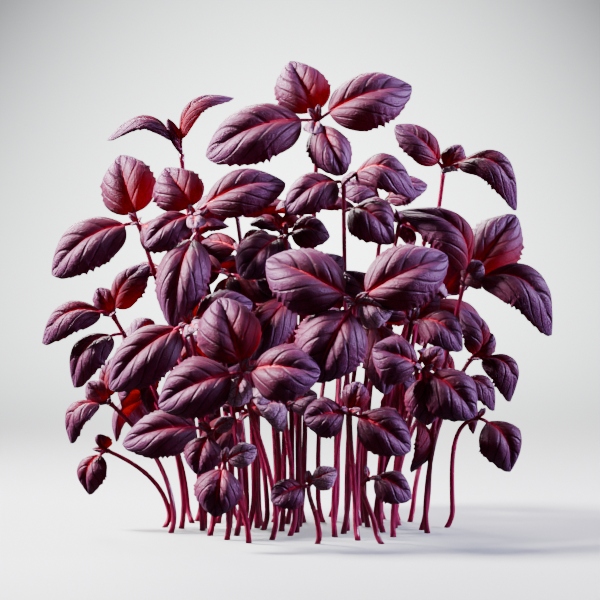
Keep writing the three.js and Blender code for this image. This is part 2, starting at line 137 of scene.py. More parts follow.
# The stems that a rule places, behind and between those.
RULED = 31
DOME_MID, DOME_X, DOME_Y, DOME_Z = 36, 42, 33, 46
BACK_ARC, BACK_START = 1.1, -0.05  # the outer ones wind over a little more than the back half turn
LOWEST_RISE, RISE_SPAN = -0.3, 1.25
OUTER_DEPTH, INNER_DEPTH = (0.65, 1), (0.3, 0.55)
INNER_EVERY = 3
INNER_HEIGHT = 0.8
FOOT_SHARE_X, FOOT_SHARE_Y = 0.72, 0.6
LEAST_LEAF, LEAF_SPREAD = 14, 6
GOLDEN_TURN = 0.618034
SEED = 6

# ---- dimensions of what the looks add ----
BLADE_THICK = 0.38
LOBE_RISE = 0.3  # how far each half of a blade bulges, as a share of its half width
QUILT_RISE = 0.028  # the same for the pillows between the side veins
RIB_DEPTH = 0.35  # the sunk midrib
RIB_HALF = 0.4
EDGE_WAVE, EDGE_WAVES = 0.04, 11  # height as a share of the half width, and radians along the leaf
CRINKLE_RISE = 0.04
TOOTH_DEPTH = 0.16
TEETH_FROM, TEETH_SPAN = 0.2, 0.75
# distance between side veins along the midrib, as a share of the blade's length
VEIN_GAP = {"toothed": 0.23, "simple": 0.26, "young": 0.33, "new": 0.5}
VEIN_SWEEP, VEIN_CURL = 0.42, 0.3  # how far forward a side vein runs, and how much it hooks
VEIN_STAGGER = 0.45  # how much later the veins of the second half leave the midrib, in gaps
BLADE_CELLS = {"toothed": (64, 22), "simple": (40, 16), "young": (22, 10), "new": (14, 8)}
TEETH = {"toothed": 9, "simple": 6, "young": 3, "new": 0}
STALK_ROUND, STALK_RINGS = 8, 12
STALK_END = 0.55  # share of the leaf's length at which its stalk has thinned away under the blade
STALK_START = -0.02  # the stalk begins inside the stem
STEM_ROUND, STEM_RINGS = 12, 36
NODE_AT, NODE_HALF, NODE_SWELL = 0.56, 0.012, 0.14  # the ring that an old pair of leaves left
HEAD_SWELL, FOOT_SWELL = 0.5, 0.12  # how much thicker a stem is under its head and at its cut end
SQUARENESS = 0.1  # how far a stem's corners stand out, and its sides sink, as a share of its radius
NEW_LEAVES = 3  # tiny ones in each head
MERGE = 0.002  # corners nearer than this become one


# ---- small helpers ----
def across(v, axis):
    """The unit vector of v's part that is square to the unit vector axis."""
    return (v - axis * v.dot(axis)).normalized()


def draw(a, b):
    """A number from 0 to 1 that depends only on the two whole numbers given."""
    s = math.sin(a * 127.1 + b * 311.7 + SEED * 74.7) * 43758.5453
    return s - math.floor(s)


def spread(a, b, low, high):
    """The same, from low to high."""
    return low + (high - low) * draw(a, b)


def ease(value, low, high):
    """0 below low, 1 above high, smooth between."""
    x = min(1, max(0, (value - low) / (high - low)))
    return x * x * (3 - 2 * x)


# ---- how the stems stand ----
def ruled_stem(i):
    """The heads wind up the back half of the dome by the golden turn, and all round inside it."""
    inner = i % INNER_EVERY == 1
    spin = (i * GOLDEN_TURN) % 1
    turn = 2 * math.pi * spin if inner else math.pi * (BACK_ARC * spin + BACK_START)
    rise = math.asin(LOWEST_RISE + RISE_SPAN * (i + 0.5) / RULED)
    out = Vector((math.cos(turn) * math.cos(rise), math.sin(turn) * math.cos(rise), math.sin(rise)))
    depth = spread(i, 1, *(INNER_DEPTH if inner else OUTER_DEPTH))
    height = INNER_HEIGHT if inner else depth
    head = (DOME_X * out.x * depth, DOME_Y * out.y * depth, DOME_MID + DOME_Z * out.z * height)
    face = (out + (Vector((0, -1, 0.6)) if inner else UP * 0.8)).normalized()
    first = across(Vector((math.cos(7 * i), math.sin(7 * i), 0.2)), face)
    second = face.cross(first)
    size = spread(i, 2, LEAST_LEAF, LEAST_LEAF + LEAF_SPREAD)

    def leaf(way, long, wide, key):
        tip = way * long + face * 0.15 * long
        tip.z -= 0.25 * long
        return (*tip, wide, spread(i, key, 0.16, 0.32))

    return dict(
        ruled=True,
        foot=(FOOT_SHARE_X * head[0], FOOT_SHARE_Y * head[1]),
        head=head,
        face=face,
        leaves=[
            leaf(first, size, 0.6 * size, 4),
            leaf(-first, 0.94 * size, 0.58 * size, 5),
            leaf(second, 0.66 * size, 0.42 * size, 6),
        ],
    )


class CadCorners:
    """The corners of one node of the model, in millimetres."""

    MATCH = 0.005  # how near a computed point has to come to a corner to be that corner

    def __init__(self, node):
        self.corners = [vertex.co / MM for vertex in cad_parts[node].data.vertices]
        self.tree = KDTree(len(self.corners))
        for i, corner in enumerate(self.corners):
            self.tree.insert(corner, i)
        self.tree.balance()

    def foot(self):
        """The middle of the cut end."""
        ring = [corner for corner in self.corners if corner.z < self.MATCH]
        x = [corner.x for corner in ring]
        y = [corner.y for corner in ring]
        return Vector(((min(x) + max(x)) / 2, (min(y) + max(y)) / 2, 0))

    def has(self, point):
        """Whether the point is one of the corners."""
        return self.tree.find(point)[2] < self.MATCH


class StemForm:
    """A stem's centre line: up from its foot, then over into its head, flared out at the cut end."""

    def __init__(self, plan, index, foot):
        self.kick = 2 * math.pi * draw(index, 3)
        start = foot - self.flare(0)
        head = Vector(plan["head"])
        if plan.get("ruled"):
            head += foot - Vector((*plan["foot"], 0))
        reach = (head - start).length
        upright = Vector(plan["face"]).normalized() + UP * HEAD_UPRIGHT
        lean = Vector(plan.get("lean", upright)).normalized()
        self.knots = (start, start + UP * FOOT_PULL * reach, head - lean * HEAD_PULL * reach, head)

    def flare(self, share):
        """How far the cut end's flare puts the line out, which fades a little way up."""
        left = max(0, 1 - share / FOOT_KICK_SHARE)
        return Vector((math.cos(self.kick), math.sin(self.kick), 0)) * FOOT_KICK * left * left

    def at(self, share):
        """The point at a share of the way from the cut end to the head."""
        a, b, c, d = self.knots
        k = 1 - share
        bow = a * k**3 + b * 3 * k * k * share + c * 3 * k * share * share + d * share**3
        return bow + self.flare(share)

    def way(self, share):
        """The way that the line runs there."""
        step = 0.004
        return (self.at(min(1, share + step)) - self.at(max(0, share - step))).normalized()


# ---- how the leaves lie ----
BLADE_NEAR, BLADE_FAR = 0.42, 0.5
BLADE_REACH = BLADE_NEAR + BLADE_FAR
BLADE_PEAK = (BLADE_NEAR / BLADE_REACH) ** BLADE_NEAR * (BLADE_FAR / BLADE_REACH) ** BLADE_FAR

BEND_RINGS, BEND_WAYS = 7, 8
BEND_STEP, BEND_SHORTENING = 9, 0.07


def leaf_bends():
    """The bends that a leaf of the model may have taken to clear its neighbours, in the order tried.

    Each is degrees of swing, degrees of lift, and the share of its length that the leaf kept.
    """
    bends = [(0, 0, 1)]
    for ring in range(1, BEND_RINGS + 1):
        for k in range(BEND_WAYS):
            heading = 2 * math.pi * k / BEND_WAYS
            swing = BEND_STEP * ring * math.cos(heading)
            lift = BEND_STEP * ring * math.sin(heading)
            bends.append((swing, lift, 1 - BEND_SHORTENING * ring))
    return bends


LEAF_BENDS = leaf_bends()


def bent(tip, face, bend):
    """The vector to a leaf's tip after a swing round the head, a lift and a shortening."""
    swing, lift, share = bend
    turned = Quaternion(face, math.radians(swing)) @ tip
    hinge = turned.cross(face).normalized()
    return (Quaternion(hinge, math.radians(lift)) @ turned) * share


class LeafForm:
    """A leaf's middle surface, from its root, the vector to its tip and the way its face looks."""

    def __init__(self, root, tip, face, width, arch):
        self.root, self.width, self.arch, self.length = root, width, arch, tip.length
        self.along = tip.normalized()
        self.up = across(face, self.along)
        self.side = self.along.cross(self.up)

    def lift(self, t):
        """The way out of the upper face at t, which runs from the root to the tip."""
        return (self.up - self.along * 4 * self.arch * (1 - 2 * t)).normalized()

    def middle(self, t):
        """The point of the midrib at t."""
        arch = self.up * 4 * self.arch * self.length * t * (1 - t)
        return self.root + self.along * t * self.length + arch

    def surface(self, t, v, half):
        """A point v half widths to the side of the midrib."""
        return self.middle(t) + self.side * v * half - self.lift(t) * BLADE_CUP * half * abs(v) ** 1.5

    def kind(self):
        """How grown the leaf is, which sets its teeth, veins and grid."""
        if self.length >= TOOTHED_FROM:
            return "toothed"
        return "simple" if self.length >= SIMPLE_FROM else "young"


class LeafTraits:
    """What tells one leaf from the next: its teeth, waves, veins, how much painted red glow of back
    light it takes, and how pale and old it is.
    """

    def __init__(self, stem, leaf, kind, glow, youth):
        key = 20 + 10 * leaf
        self.kind, self.glow, self.youth = kind, glow, youth
        self.gap = VEIN_GAP[kind]
        self.tone = draw(stem, key)
        self.wave = 2 * math.pi * draw(stem, key + 1)
        self.shift = draw(stem, key + 2)
        self.teeth = draw(stem, key + 3)
        self.lopsided = spread(stem, key + 4, -0.07, 0.07)
        self.pointed = spread(stem, key + 5, 0, 0.22)
        self.crinkle = 0.25 + youth


def tooth(s, v, traits):
    """How far the edge stands out at s, as a share of the half width."""
    count = TEETH[traits.kind]
    if not count:
        return 0
    start = traits.teeth if v > 0 else 0.5 + 0.7 * traits.teeth  # the two edges out of step
    place = (s - TEETH_FROM) * count / TEETH_SPAN + start
    size = 0.6 + 0.4 * math.sin(5 * math.floor(place) + 9 * traits.teeth)
    saw = place - math.floor(place)
    return TOOTH_DEPTH * size * (saw**1.6 - 0.35) * ease(s, 0.22, 0.45)


def vein_phase(s, v, traits):
    """Whole numbers on the side veins, which leave the midrib in turn and hook forward at the edge."""
    forward = VEIN_SWEEP * abs(v) + VEIN_CURL * v**4
    return (s - forward) / traits.gap + traits.shift + (VEIN_STAGGER if v > 0 else 0)


def relief(s, v, half, traits):
    """The height of the upper face over the leaf's smooth form."""
    body = math.sin(math.pi * min(1, s)) ** 0.5 if 0 < s < 1 else 0
    lobe = LOBE_RISE * half * math.sin(math.pi * abs(v)) * body
    inside = 1 - ease(abs(v), 0.75, 1)
    pillow = abs(math.sin(math.pi * vein_phase(s, v, traits))) ** 0.7
    shown = ease(abs(v), 0, 0.12) * inside * ease(s, 0.04, 0.16)
    quilt = QUILT_RISE * half * (pillow - 0.6) * shown * (1 + 0.8 * traits.youth)
    rib = RIB_DEPTH * min(1, half / 4) * math.exp(-((v * half / RIB_HALF) ** 2)) * (1 - 0.5 * s)
    start = traits.wave + (1.3 if v > 0 else 0)
    wave = EDGE_WAVE * half * abs(v) ** 3 * math.sin(EDGE_WAVES * s + start)
    folds = math.sin(13 * s + 3 * v + traits.wave) * math.sin(5 * v + 7 * s)
    crinkle = CRINKLE_RISE * half * traits.crinkle * folds
    return lobe + quilt - rib + wave + crinkle * body


TRAIT_LAYERS = ("glow", "youth", "tone", "shift", "gap")  # the same all over one leaf
PLACE_LAYERS = ("under", "aside", "along")


def start_leaf_mesh():
    """An empty mesh with the map and the values that the leaf's finish reads."""
    bm = bmesh.new()
    layers = {"map": bm.loops.layers.uv.new("leaf_map")}
    for name in TRAIT_LAYERS + PLACE_LAYERS:
        layers[name] = bm.verts.layers.float.new(name)
    return bm, layers


def blade_mesh(form, traits):
    """One blade: a grid laid on the leaf's form, with its relief and teeth, and given its thickness."""
    bm, layers = start_leaf_mesh()
    long_cells, wide_cells = BLADE_CELLS[traits.kind]
    bmesh.ops.create_grid(bm, x_segments=long_cells, y_segments=wide_cells, size=1)
    places = {}
    for vert in bm.verts:
        u = (vert.co.x + 1) / 2
        s = min(1, max(0, u - 0.08 * math.sin(2 * math.pi * u)))
        places[vert] = (s, math.copysign(abs(vert.co.y) ** 1.3, vert.co.y))
    for face in bm.faces:
        for loop in face.loops:
            s, v = places[loop.vert]
            loop[layers["map"]].uv = (s, (v + 1) / 2)
    for vert, (s, v) in places.items():
        t = STALK_SHARE + s * (1 - STALK_SHARE)
        shape = s**BLADE_NEAR * (1 - s) ** BLADE_FAR / BLADE_PEAK
        half = form.width / 2 * shape * (1 + traits.lopsided * math.copysign(1, v))
        half *= (1 + tooth(s, v, traits) * abs(v) ** 6) * (1 - traits.pointed * ease(s, 0.7, 1))
        vert[layers["aside"]] = abs(v) * half
        vert.co = form.surface(t, v, half) + form.lift(t) * relief(s, v, half, traits)
    bmesh.ops.remove_doubles(bm, verts=bm.verts, dist=MERGE)
    bmesh.ops.recalc_face_normals(bm, faces=bm.faces)
    if sum(face.normal.dot(form.up) * face.calc_area() for face in bm.faces) < 0:
        bmesh.ops.reverse_faces(bm, faces=bm.faces)
    upper = set(bm.verts)
    bmesh.ops.solidify(bm, geom=bm.faces, thickness=BLADE_THICK)
    for vert in set(bm.verts) - upper:
        vert[layers["under"]] = 1
    return bm, layers


def stalk_mesh(form):
    """The leaf's stalk, which runs on under the blade as the ridge of the midrib and thins away."""
    bm, layers = start_leaf_mesh()
    bmesh.ops.create_grid(bm, x_segments=STALK_RINGS, y_segments=STALK_ROUND, size=1)
    thick = min(STALK_HALF, form.width / 10 + 0.1)
    for vert in bm.verts:
        u, turn = (vert.co.x + 1) / 2, vert.co.y * math.pi
        t = STALK_START + u * (STALK_END - STALK_START)
        bared = ease(t, STALK_SHARE * 0.7, STALK_SHARE * 1.5)
        radius = thick * (1.25 - 0.25 * ease(t, 0, 0.08)) * (1 - 0.8 * ease(t, STALK_SHARE, STALK_END))
        radius *= min(1, 10 * u, 10 * (1 - u))
        lift = form.lift(t)
        sunk = (BLADE_THICK + 0.8 * RIB_DEPTH * min(1, form.width / 8)) * bared
        vert[layers["along"]] = 0.2
        spoke = form.side * math.cos(turn) + lift * math.sin(turn)
        vert.co = form.middle(t) - lift * sunk + spoke * radius
    bmesh.ops.remove_doubles(bm, verts=bm.verts, dist=MERGE)
    bmesh.ops.recalc_face_normals(bm, faces=bm.faces)
    return bm, layers


def leaves_piece(name, node, forms, materials):
    """All the leaves of one stem: their blades in the first material, their stalks in the second."""
    whole, _ = start_leaf_mesh()
    for form, traits in forms:
        for part, (bm, layers) in enumerate((blade_mesh(form, traits), stalk_mesh(form))):
            for vert in bm.verts:
                for layer in TRAIT_LAYERS:
                    vert[layers[layer]] = getattr(traits, layer)
            for face in bm.faces:
                face.smooth = True
                face.material_index = part
            mesh = bpy.data.meshes.new("part")
            bm.to_mesh(mesh)
            bm.free()
            whole.from_mesh(mesh)
            bpy.data.meshes.remove(mesh)
    return finish_piece(whole, name, materials, node)


def finish_piece(bm, name, materials, node):
    """Makes the mesh a piece in metres, which stands for the model's node."""
    bmesh.ops.scale(bm, vec=(MM, MM, MM), verts=bm.verts)
    mesh = bpy.data.meshes.new(name)
    bm.to_mesh(mesh)
    bm.free()
    for material in materials:
        mesh.materials.append(material)
    piece = bpy.data.objects.new(name, mesh)
    bpy.context.scene.collection.objects.link(piece)
    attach(piece, "root")
    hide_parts(node)
    return piece


def stem_piece(name, node, stem, tone, material):
    """A square stem with rounded corners and hollow sides, thicker at its two ends."""
    bm = bmesh.new()
    along, shade = bm.verts.layers.float.new("along"), bm.verts.layers.float.new("tone")
    bmesh.ops.create_cone(bm, cap_ends=True, segments=STEM_ROUND, radius1=1, radius2=1, depth=1)
    lengthwise = [edge for edge in bm.edges if abs(edge.verts[0].co.z - edge.verts[1].co.z) > 0.5]
    bmesh.ops.subdivide_edges(bm, edges=lengthwise, cuts=STEM_RINGS - 1)
    rings = {}
    for vert in bm.verts:
        rings.setdefault(round((vert.co.z + 0.5) * STEM_RINGS), []).append(vert)
    side = Vector((1, 0, 0))
    for ring, verts in sorted(rings.items()):
        share = ring / STEM_RINGS
        way = UP if ring == 0 else stem.way(share)
        side = across(side, way)
        front = way.cross(side)
        centre = stem.at(share)
        radius = STEM_FOOT_R + (STEM_TOP_R - STEM_FOOT_R) * share
        node_ring = NODE_SWELL * math.exp(-((share - NODE_AT) / NODE_HALF) ** 2)
        radius *= 1 + node_ring + HEAD_SWELL * ease(share, 0.965, 1)
        radius *= 1 + FOOT_SWELL * (1 - ease(share, 0, 0.02))
        for vert in verts:
            angle = math.atan2(vert.co.y, vert.co.x)
            square = radius * (1 - SQUARENESS + SQUARENESS * math.cos(4 * angle))
            vert[along], vert[shade] = share, tone
            vert.co = centre + (side * math.cos(angle) + front * math.sin(angle)) * square
    for face in bm.faces:
        face.smooth = len(face.verts) == 4
    return finish_piece(bm, name, [material], node)


# ---- finishes ----
def colour(red, green, blue):
    return (red, green, blue, 1)


# the leaf's colours
RED_PLUM, BLUE_PLUM = colour(0.046, 0.0003, 0.011), colour(0.026, 0.0004, 0.013)
MOTTLED_PLUM = colour(0.050, 0.0008, 0.016)
# the dark of the leaf's own speckle, and painted shade toward the leaf's base
SPECKLE_DARK, PAINTED_BASE_SHADE = colour(0.014, 0.0002, 0.005), colour(0.024, 0.0002, 0.006)
# painted shade in the hollow beside each side vein, and the dark of the finest veins' own net
PAINTED_HOLLOW_SHADE, NET_DARK = colour(0.020, 0.0002, 0.006), colour(0.020, 0.0006, 0.008)
# a painted lavender sheen, pinker near the base and bluer toward the tip
PAINTED_SHEEN_PINK, PAINTED_SHEEN_LAVENDER = colour(0.118, 0.0050, 0.046), colour(0.108, 0.0360, 0.112)
# the leaf's own crimson near the rib, and the scarlet of a painted red glow of back light
CRIMSON, PAINTED_GLOW_SCARLET = colour(0.105, 0.0002, 0.009), colour(0.085, 0.0001, 0.006)
YOUNG_MAUVE, YOUNG_PINK = colour(0.19, 0.060, 0.12), colour(0.34, 0.19, 0.27)
RIM_PINK = colour(0.20, 0.020, 0.060)
# painted shade in the creases of the side veins, and the painted red glow of back light in them
PAINTED_VEIN_SHADE, PAINTED_GLOW_VEIN_RED = colour(0.007, 0.0004, 0.003), colour(0.26, 0.006, 0.020)
# painted crease shade along the midrib toward the tip, and its own crimson
PAINTED_RIB_SHADE, RIB_RED = colour(0.010, 0.0005, 0.004), colour(0.42, 0.0006, 0.022)
BACK_RED, BACK_MAUVE = colour(0.13, 0.008, 0.035), colour(0.085, 0.018, 0.050)

# the stem's colours
STEM_MAROON, STEM_WINE = colour(0.026, 0.0008, 0.007), colour(0.100, 0.0025, 0.024)
# the lighter colours that the stem's painted light shows; rose mostly on stems further back, a painted
# glow of back light
STEM_CRIMSON, STEM_ROSE = colour(0.150, 0.0030, 0.030), colour(0.50, 0.018, 0.110)
STEM_BLOTCH = colour(0.020, 0.001, 0.007)

# the patterns' sizes, in metres
LEAF_SPECKLE, STEM_STREAK = 0.0003, 0.0006
NET_CELL = 0.00125
MOTTLE_SCALE = 220.0  # blotches to a metre
STREAK_STRETCH = 0.06  # a streak's width over its length


class Net:
    """Adds nodes to one shader tree. A value is a number, a colour or another node's output."""

    def __init__(self, tree):
        self.tree = tree

    def node(self, kind, values=(), **settings):
        node = self.tree.nodes.new("ShaderNode" + kind)
        for name, setting in settings.items():
            setattr(node, name, setting)
        for socket, value in dict(values).items():
            self.put(node.inputs[socket], value)
        return node

    def put(self, socket, value):
        if isinstance(value, bpy.types.NodeSocket):
            self.tree.links.new(value, socket)
        else:
            socket.default_value = value

    def math(self, operation, *values):
        return self.node("Math", enumerate(values), operation=operation).outputs[0]

    def plus(self, a, b):
        return self.math("ADD", a, b)

    def minus(self, a, b):
        return self.math("SUBTRACT", a, b)

    def times(self, first, *others):
        product = first
        for factor in others:
            product = self.math("MULTIPLY", product, factor)
        return product

    def ease(self, value, low, high, start=0.0, end=1.0):
        """start below low, end above high, smooth between."""
        values = {"Value": value, "From Min": low, "From Max": high, "To Min": start, "To Max": end}
        return self.node("MapRange", values, interpolation_type="SMOOTHSTEP").outputs[0]

    def mix(self, share, a, b):
        return self.node("Mix", {0: share, 6: a, 7: b}, data_type="RGBA").outputs[2]

    def noise(self, vector, scale, detail=2.0):
        values = {"Vector": vector, "Scale": scale, "Detail": detail}
        return self.node("TexNoise", values).outputs["Fac"]

    def attribute(self, name):
        return self.node("Attribute", attribute_name=name).outputs["Fac"]

    def group(self, tree, values):
        node = self.node("Group")
        node.node_tree = tree
        for socket, value in values.items():
            self.put(node.inputs[socket], value)
        return node


def new_material(name):
    """An empty material and the net that fills it."""
    material = bpy.data.materials.new(name)
    material.use_nodes = True
    material.node_tree.nodes.clear()
    return material, Net(material.node_tree)


def skin_grain_group():
    """Fine speckle and slow mottling of a plant's skin, for leaves and stems."""
    tree = bpy.data.node_groups.new("skin_grain", "ShaderNodeTree")
    tree.interface.new_socket("Place", in_out="INPUT", socket_type="NodeSocketVector")
    tree.interface.new_socket("Speckle size", in_out="INPUT", socket_type="NodeSocketFloat")
    tree.interface.new_socket("Speckle", in_out="OUTPUT", socket_type="NodeSocketFloat")
    tree.interface.new_socket("Mottle", in_out="OUTPUT", socket_type="NodeSocketFloat")
    net = Net(tree)
    source, out = tree.nodes.new("NodeGroupInput"), tree.nodes.new("NodeGroupOutput")
    speckle_scale = net.math("DIVIDE", 1.0, source.outputs["Speckle size"])
    for name, scale in (("Speckle", speckle_scale), ("Mottle", MOTTLE_SCALE)):
        net.put(out.inputs[name], net.ease(net.noise(source.outputs["Place"], scale, 3.0), 0.3, 0.7))
    return tree


class LeafPattern:
    """Where a leaf's veins, pillows and speckle lie, as masks from 0 to 1."""

    def __init__(self, net, grain):
        place = net.node("TexCoord").outputs["Object"]
        at = net.node("SeparateXYZ", {0: net.node("UVMap", uv_map="leaf_map").outputs[0]})
        self.s = at.outputs["X"]
        self.v = net.minus(net.times(at.outputs["Y"], 2.0), 1.0)
        self.off = net.math("ABSOLUTE", self.v)
        self.aside = net.attribute("aside")
        edge_fade = net.ease(self.off, 0.78, 0.98, 1.0, 0.0)
        self.inside = net.times(edge_fade, net.ease(self.s, 0.02, 0.1))
        self.rim = net.ease(self.off, 0.93, 1.0)
        self.lay_veins(net)
        self.lay_skin(net, place, grain)

    def lay_veins(self, net):
        """The midrib, and the same side veins as the relief's."""
        hook = net.times(net.math("POWER", self.off, 4.0), VEIN_CURL)
        forward = net.plus(net.times(self.off, VEIN_SWEEP), hook)
        phase = net.math("DIVIDE", net.minus(self.s, forward), net.attribute("gap"))
        phase = net.plus(phase, net.attribute("shift"))
        phase = net.plus(phase, net.times(net.math("GREATER_THAN", self.v, 0.0), VEIN_STAGGER))
        turn = net.times(phase, math.pi)
        self.wave = net.math("ABSOLUTE", net.math("SINE", turn))
        ahead = net.ease(net.math("SINE", net.times(turn, 2.0)), 0.2, 0.7)
        behind = net.times(net.minus(1.0, ahead), net.ease(self.wave, 0.1, 0.7, 1.0, 0.0))
        self.vein = net.times(net.ease(self.wave, 0.0, 0.22, 1.0, 0.0), self.inside)
        # a painted highlight on one side of each side vein
        self.lit_side = net.times(ahead, net.ease(self.wave, 0.3, 0.6, 1.0, 0.0), self.inside)
        # painted shade in the hollow on the other side of each side vein
        self.hollow = net.times(behind, self.inside, 0.75)
        self.pillow = net.times(net.ease(self.wave, 0.05, 0.75), self.inside)
        rib_half = net.ease(self.s, 0.0, 0.95, 0.42, 0.07)
        self.rib = net.ease(net.math("DIVIDE", self.aside, rib_half), 0.6, 1.1, 1.0, 0.0)

    def lay_skin(self, net, place, grain):
        """The speckle and mottle of the skin, and the net of its finest veins."""
        skin = net.group(grain, {"Place": place, "Speckle size": LEAF_SPECKLE})
        self.speckle, self.mottle = skin.outputs["Speckle"], skin.outputs["Mottle"]
        values = {"Vector": place, "Scale": 1 / NET_CELL}
        from_line = net.node("TexVoronoi", values, feature="DISTANCE_TO_EDGE").outputs["Distance"]
        self.fine_net = net.times(net.ease(from_line, 0.0, 0.14, 1.0, 0.0), self.inside)


def leaf_colour(net, leaf, painted_glow):
    """Plum under a painted lavender sheen, with painted shade at its base and by its veins, reddened
    near the rib and by a painted red glow of back light, paled where young, then its veins.
    """
    tip = net.ease(leaf.s, 0.35, 0.95)
    outer = net.ease(net.plus(leaf.s, net.times(leaf.off, 0.4)), 0.42, 1.2, 0.06, 1.15)
    # painted sheen on the pillows' crests and on the painted highlight beside the veins, more toward
    # the tip and edges
    painted_sheen = net.plus(net.times(leaf.pillow, 0.42), 0.05)
    painted_sheen = net.plus(painted_sheen, net.times(leaf.lit_side, 0.7))
    painted_sheen = net.times(painted_sheen, outer, net.ease(leaf.speckle, 0.0, 1.0, 0.3, 1.25))

    skin = net.mix(net.attribute("tone"), RED_PLUM, BLUE_PLUM)
    skin = net.mix(net.times(leaf.mottle, 0.6), skin, MOTTLED_PLUM)
    skin = net.mix(net.ease(leaf.speckle, 0.0, 1.0, 0.5, 0.0), skin, SPECKLE_DARK)
    # painted shade, darker toward the base of the leaf
    skin = net.mix(net.ease(outer, 0.1, 0.7, 0.7, 0.0), skin, PAINTED_BASE_SHADE)
    skin = net.mix(painted_sheen, skin, net.mix(tip, PAINTED_SHEEN_PINK, PAINTED_SHEEN_LAVENDER))
    # painted shade in the hollow beside each side vein
    skin = net.mix(leaf.hollow, skin, PAINTED_HOLLOW_SHADE)

    near_rib = net.times(net.ease(leaf.aside, 0.2, 2.2, 1.0, 0.0), net.ease(leaf.s, 0.1, 0.8, 1.0, 0.0))
    skin = net.mix(near_rib, skin, CRIMSON)
    # painted red glow of back light, toward the base of standing and inner leaves
    skin = net.mix(painted_glow, skin, PAINTED_GLOW_SCARLET)
    young = net.mix(net.ease(leaf.speckle, 0.1, 0.9), YOUNG_MAUVE, YOUNG_PINK)
    skin = net.mix(net.times(net.attribute("youth"), 0.8), skin, young)
    skin = net.mix(net.times(leaf.rim, 0.4), skin, RIM_PINK)
    skin = net.mix(net.times(leaf.fine_net, 0.3), skin, NET_DARK)
    # the side veins: painted crease shade, or painted red glow where the leaf has it
    skin = net.mix(net.times(leaf.vein, 0.9), skin, net.mix(painted_glow, PAINTED_VEIN_SHADE, PAINTED_GLOW_VEIN_RED))
    # the midrib: its own crimson toward the base, painted crease shade toward the tip
    skin = net.mix(leaf.rib, skin, net.mix(net.ease(leaf.s, 0.5, 0.9), RIB_RED, PAINTED_RIB_SHADE))
    back = net.mix(leaf.pillow, BACK_RED, BACK_MAUVE)
    return net.mix(net.times(net.attribute("under"), 0.85), skin, back)


def leaf_bump(net, leaf):
    """Speckle over creases at the veins, the midrib and the finest net."""
    crease = net.times(net.ease(leaf.wave, 0.0, 0.5, 1.0, 0.0), leaf.inside)
    height = net.minus(net.times(leaf.speckle, 0.18), net.times(crease, 0.7))
    height = net.minus(height, net.times(leaf.rib, 0.4))
    height = net.minus(height, net.times(leaf.fine_net, 0.12))
    return net.node("Bump", {"Strength": 0.9, "Distance": 0.00028, "Height": height}).outputs[0]


def leaf_material(grain):
    """Velvety dark plum under a painted lavender sheen, sunk veins darkened by painted crease shade,
    and a crimson midrib.
    """
    material, net = new_material("purple_basil_leaf")
    leaf = LeafPattern(net, grain)
    base = net.minus(leaf.s, net.times(leaf.v, 0.35))
    # where the painted red glow lies; the same mask also lets more light through the leaf
    painted_glow = net.times(net.ease(base, 0.0, 0.75, 1.0, 0.0), net.attribute("glow"))
    matt = net.plus(net.times(leaf.vein, 0.4), net.times(painted_glow, 0.3))
    bump = leaf_bump(net, leaf)
    shader = net.node(
        "BsdfPrincipled",
        {
            "Base Color": leaf_colour(net, leaf, painted_glow),
            "Roughness": net.plus(net.ease(leaf.speckle, 0.0, 1.0, 0.44, 0.60), matt),
            "Normal": bump,
            "Specular IOR Level": 0.3,
            "Specular Tint": colour(1.0, 0.45, 0.85),
            "Sheen Weight": 0.012,
            "Sheen Roughness": 0.4,
            "Sheen Tint": colour(0.88, 0.66, 1.0),
        },
    )
    light_through = net.mix(painted_glow, colour(0.38, 0.001, 0.030), colour(0.50, 0.0002, 0.014))
    thin = net.node("BsdfTranslucent", {"Color": light_through, "Normal": bump})
    share = net.plus(0.15, net.times(painted_glow, 0.3))
    both = net.node("MixShader", {0: share, 1: shader.outputs[0], 2: thin.outputs[0]})
    net.node("OutputMaterial", {0: both.outputs[0]})
    return material


def stem_material(grain):
    """Glossy crimson to near-black maroon, streaked along the stem, with painted light: lighter in the
    streaks, painted shade toward the head, and a painted glow on the stems further back.
    """
    material, net = new_material("basil_stem_skin")
    place = net.node("TexCoord").outputs["Object"]
    along, tone = net.attribute("along"), net.attribute("tone")
    streaks = net.node("Mapping", {"Vector": place, "Scale": (1.0, 1.0, STREAK_STRETCH)}).outputs[0]
    skin = net.group(grain, {"Place": streaks, "Speckle size": STEM_STREAK})
    streak, mottle = skin.outputs["Speckle"], skin.outputs["Mottle"]
    dark = net.mix(tone, STEM_MAROON, STEM_WINE)
    painted_lit_colour = net.mix(tone, STEM_CRIMSON, STEM_ROSE)
    # painted light in streaks along the grain, with painted shade toward the head
    streaked_painted_light = net.times(streak, net.ease(along, 0.1, 0.95, 1.0, 0.35))
    skin_colour = net.mix(streaked_painted_light, dark, painted_lit_colour)
    skin_colour = net.mix(net.times(mottle, 0.3), skin_colour, STEM_BLOTCH)
    bump = net.node("Bump", {"Strength": 0.4, "Distance": 0.0001, "Height": streak}).outputs[0]
    shader = net.node(
        "BsdfPrincipled",
        {
            "Base Color": skin_colour,
            "Roughness": net.ease(mottle, 0.0, 1.0, 0.18, 0.34),
            "Normal": bump,
            "Specular IOR Level": 0.4,
            "Specular Tint": colour(1.0, 0.6, 0.75),
        },
    )
    glass = net.node("BsdfTranslucent", {"Color": colour(0.55, 0.004, 0.09), "Normal": bump})
    both = net.node("MixShader", {0: 0.18, 1: shader.outputs[0], 2: glass.outputs[0]})
    net.node("OutputMaterial", {0: both.outputs[0]})
    return material


